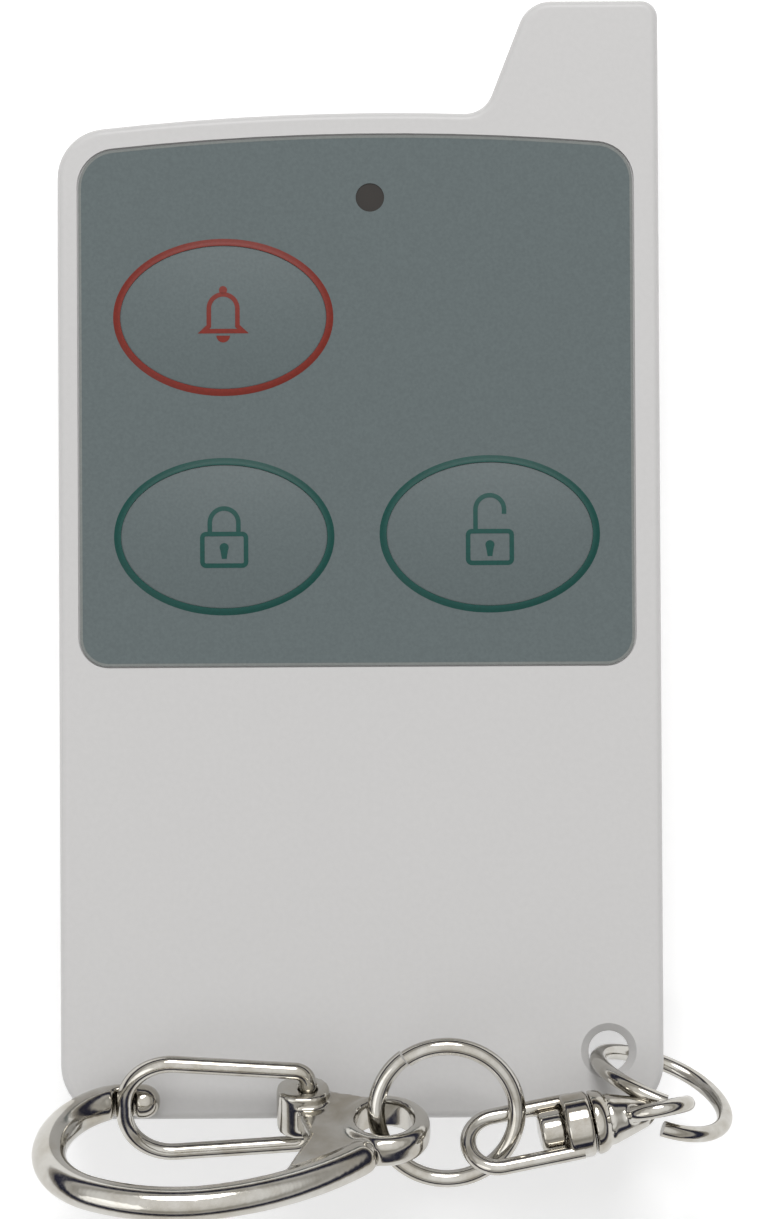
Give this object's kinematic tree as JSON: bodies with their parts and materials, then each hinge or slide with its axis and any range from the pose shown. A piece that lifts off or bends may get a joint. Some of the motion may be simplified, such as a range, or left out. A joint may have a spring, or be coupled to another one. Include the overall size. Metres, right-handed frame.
{
  "type": "alarm key fob",
  "caption": "Alarm remote key fob: flat case with a stub antenna, oval press keys in a printed film, status light, sliding battery cover, and a swivel key chain with a wire-gate hook.",
  "frame": {"origin": "middle of the case's back face", "axes": "+X to the right and +Y to the antenna stub, seen from the keys; +Z out of the face with the keys"},
  "size_m": [0.0464, 0.0809, 0.0239],
  "materials": {
    "case": "satin",
    "film": "satin",
    "film_key": "satin",
    "pusher": "satin",
    "window": "gloss",
    "led": "gloss",
    "board": "satin",
    "switch_base": "satin",
    "switch_stem": "satin",
    "chip": "matte",
    "tinned": "satin",
    "passives": "matte",
    "copper": "satin",
    "cell": "gloss",
    "contact": "satin",
    "screw": "satin",
    "nickel": "gloss"
  },
  "bodies": {
    "case": {"rear_shell": "case", "front_shell": "case", "overlay_film": "film", "led_window": "window", "circuit_board": "board", "switch_bodies": "switch_base", "switch_covers": "tinned", "status_led": "led", "encoder_chip": "chip", "encoder_leads": "tinned", "saw_resonator": "tinned", "rf_transistor": "chip", "chip_passives": "passives", "antenna_coil": "copper", "battery_cell": "cell", "battery_plus_contact": "contact", "battery_minus_contact": "contact", "case_screws": "screw"},
    "battery_cover": {"battery_cover": "case"},
    "panic_button": {"panic_key": "film_key", "panic_pusher": "pusher", "panic_stem": "switch_stem"},
    "arm_button": {"arm_key": "film_key", "arm_pusher": "pusher", "arm_stem": "switch_stem"},
    "disarm_button": {"disarm_key": "film_key", "disarm_pusher": "pusher", "disarm_stem": "switch_stem"},
    "fob_ring": {"fob_ring": "nickel"},
    "swivel_eye": {"swivel_eye": "nickel"},
    "swivel_stirrup": {"swivel_stirrup": "nickel"},
    "link_ring": {"link_ring": "nickel"},
    "hook_body": {"hook_body": "nickel"},
    "hook_gate": {"hook_gate": "nickel"}
  },
  "joints": [
    {"name": "panic_press", "type": "slide", "parent": "case", "child": "panic_button", "axis": [0, 0, -1], "range_m": [0, 0.00035], "stiffness_N_per_m": 3000, "springref_m": -0.0001},
    {"name": "arm_press", "type": "slide", "parent": "case", "child": "arm_button", "axis": [0, 0, -1], "range_m": [0, 0.00035], "stiffness_N_per_m": 3000, "springref_m": -0.0001},
    {"name": "disarm_press", "type": "slide", "parent": "case", "child": "disarm_button", "axis": [0, 0, -1], "range_m": [0, 0.00035], "stiffness_N_per_m": 3000, "springref_m": -0.0001},
    {"name": "battery_cover_slide", "type": "slide", "parent": "case", "child": "battery_cover", "axis": [0, -1, 0], "range_m": [0, 0.004]},
    {"name": "fob_ring_swing", "type": "hinge", "parent": "case", "child": "fob_ring", "pos_m": [0.01636, -0.02908, 0.0101], "axis": [0, 0, 1], "range_deg": [0, 50]},
    {"name": "swivel_tilt", "type": "hinge", "parent": "fob_ring", "child": "swivel_eye", "pos_m": [0.01936, -0.03297, 0.01524], "axis": [-0.1908, 0.9816, 0], "range_deg": [0, 12]},
    {"name": "swivel_spin", "type": "hinge", "parent": "swivel_eye", "child": "swivel_stirrup", "pos_m": [0.01418, -0.03398, 0.0157], "axis": [0.9779, 0.1901, -0.0872], "range_deg": [0, 40]},
    {"name": "link_ring_swing", "type": "hinge", "parent": "swivel_stirrup", "child": "link_ring", "pos_m": [0.00994, -0.03338, 0.01485], "axis": [0.683, 0.683, -0.259], "range_deg": [0, 15]},
    {"name": "hook_swing", "type": "hinge", "parent": "link_ring", "child": "hook_body", "pos_m": [0.0009, -0.03305, 0.0162], "axis": [0, 0.9471, 0.321], "range_deg": [0, 20]},
    {"name": "gate_swing", "type": "hinge", "parent": "hook_body", "child": "hook_gate", "pos_m": [-0.0036, -0.0327, 0.0136], "axis": [0, 0.829, 0.5592], "range_deg": [0, 20], "stiffness_Nm_per_rad": 0.1, "springref_deg": -11.46}
  ]
}
